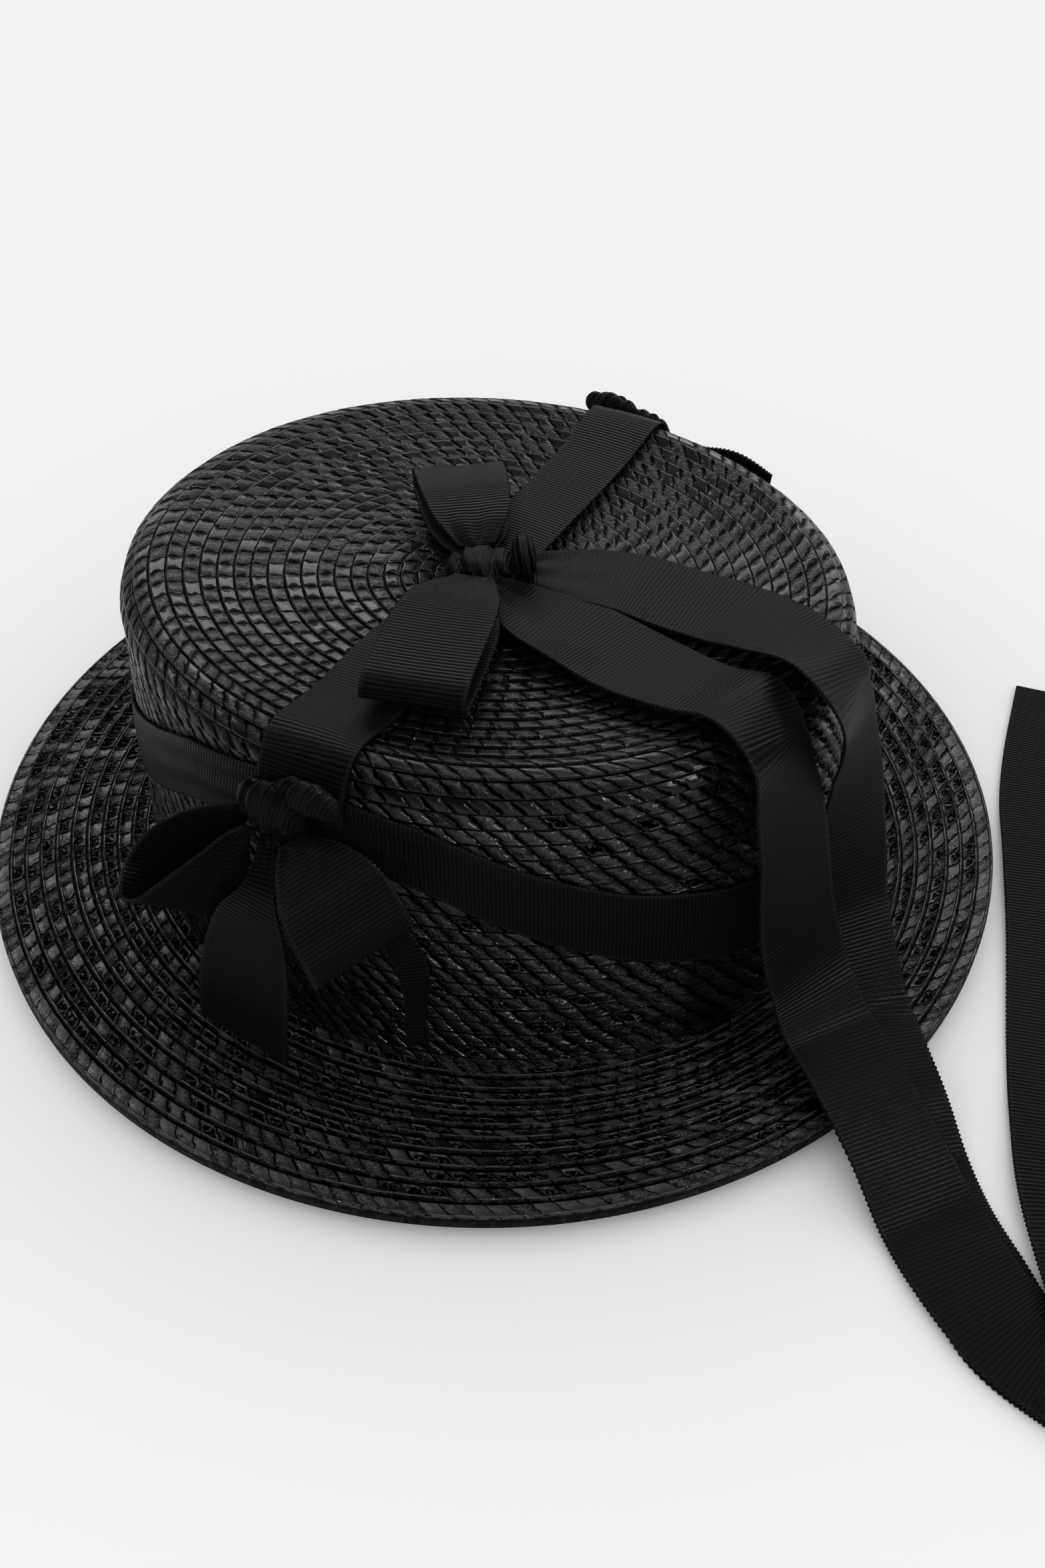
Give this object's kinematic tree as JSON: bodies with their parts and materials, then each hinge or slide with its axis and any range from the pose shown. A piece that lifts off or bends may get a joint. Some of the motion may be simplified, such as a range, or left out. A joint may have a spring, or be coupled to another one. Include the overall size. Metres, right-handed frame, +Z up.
{
  "type": "boater hat",
  "caption": "Black straw boater with an oval crown, a flat round brim, a slanting grosgrain band, a strap over the tip, bows on the tip and sides, and long ribbon tails.",
  "frame": {"origin": "on the surface the hat stands on, under the middle of the box around everything", "axes": "+Z up from the surface, +Y towards the far side of the hat, along the assembly's longest side, +X to the right as seen from the near side"},
  "size_m": [0.3282, 0.3594, 0.1003],
  "materials": {
    "straw": "black lacquered straw braid, glossy",
    "ribbon": "black grosgrain, matte with fine cross ribs"
  },
  "bodies": {
    "root": {"crown": "straw", "brim": "straw", "hat_band": "ribbon", "crown_strap": "ribbon", "top_bow_knot": "ribbon", "top_bow_loop_back": "ribbon", "top_bow_loop_front": "ribbon", "tie_tail_front": "ribbon", "tie_tail_rear": "ribbon", "front_bow_knot": "ribbon", "front_bow_loop_left": "ribbon", "front_bow_loop_right": "ribbon", "front_bow_tail_left": "ribbon", "front_bow_tail_right": "ribbon", "back_bow_knot": "ribbon", "back_bow_loop_left": "ribbon", "back_bow_loop_right": "ribbon", "back_bow_tail_left": "ribbon", "back_bow_tail_right": "ribbon"}
  },
  "joints": []
}
